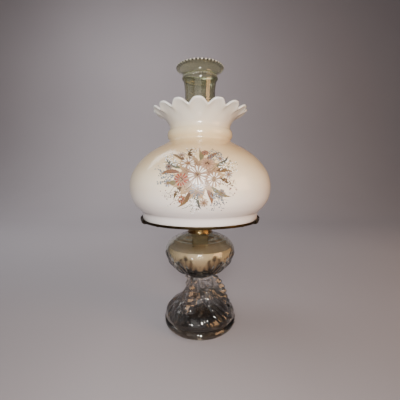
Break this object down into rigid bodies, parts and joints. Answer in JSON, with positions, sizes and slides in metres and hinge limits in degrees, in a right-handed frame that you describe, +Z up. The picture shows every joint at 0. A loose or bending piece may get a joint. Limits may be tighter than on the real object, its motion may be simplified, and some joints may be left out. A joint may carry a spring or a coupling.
{
  "type": "oil lamp",
  "caption": "Table oil lamp with a pressed glass foot and font, flat-wick brass burner, tripod shade holder, crimped opal shade and glass chimney.",
  "frame": {"origin": "centre of the foot's flat bottom ring, on the surface the lamp stands on", "axes": "+Z up along the axis of the foot, font, shade and chimney; +X towards the winder's knob; -Y faces the painted bouquet"},
  "size_m": [0.2122, 0.2122, 0.396],
  "materials": {
    "pedestal_glass": "clear pressed glass that looks smoky brown, fire polished",
    "clear_glass": "clear glass with a faint green tint",
    "opal_glass": "cream opal glass, glossy, with a painted bouquet",
    "lamp_oil": "amber lamp oil",
    "plaster": "plaster of Paris",
    "brass": "lacquered spun brass, slightly dulled",
    "wick_cotton": "woven cotton, charred at the top edge"
  },
  "bodies": {
    "base": {"pedestal": "pedestal_glass", "stem_wafer": "clear_glass", "font": "clear_glass", "lamp_oil": "lamp_oil", "collar_cement": "plaster", "collar": "brass"},
    "holder": {"holder_hub": "brass", "holder_arm_right": "brass", "holder_arm_left": "brass", "holder_arm_back": "brass", "holder_rivet_right": "brass", "holder_rivet_left": "brass", "holder_rivet_back": "brass", "holder_ring": "brass"},
    "burner": {"burner_base": "brass", "burner_basket": "brass", "gallery": "brass", "air_plate": "brass", "vent_tube": "brass", "deflector_cone": "brass", "chimney_prong_1": "brass", "chimney_prong_2": "brass", "chimney_prong_3": "brass", "chimney_prong_4": "brass", "wick_tube": "brass", "shaft_bushing": "brass", "shaft_bracket": "brass"},
    "winder": {"winder_shaft": "brass", "spur_wheel_left": "brass", "spur_wheel_right": "brass", "winder_knob": "brass"},
    "wick": {"wick": "wick_cotton"},
    "chimney": {"chimney": "clear_glass"},
    "shade": {"shade": "opal_glass"}
  },
  "joints": [
    {"name": "holder_lift", "type": "slide", "parent": "base", "child": "holder", "axis": [0, 0, 1], "range_m": [0, 0.075]},
    {"name": "burner_unscrew", "type": "hinge", "parent": "holder", "child": "burner", "pos_m": [0, 0, 0.1618], "axis": [0, 0, 1], "range_deg": [0, 1080]},
    {"name": "winder_turn", "type": "hinge", "parent": "burner", "child": "winder", "pos_m": [0, -0.0063, 0.1755], "axis": [1, 0, 0], "range_deg": [-190, 60]},
    {"name": "wick_travel", "type": "slide", "parent": "burner", "child": "wick", "axis": [0, 0, 1], "range_m": [-0.0144, 0.0046]},
    {"name": "chimney_lift", "type": "slide", "parent": "burner", "child": "chimney", "axis": [0, 0, 1], "range_m": [0, 0.16]},
    {"name": "shade_lift", "type": "slide", "parent": "holder", "child": "shade", "axis": [0, 0, 1], "range_m": [0, 0.23]}
  ],
  "couplings": [
    {"joint": "wick_travel", "follows": "winder_turn", "m_per_rad": 0.0043}
  ]
}
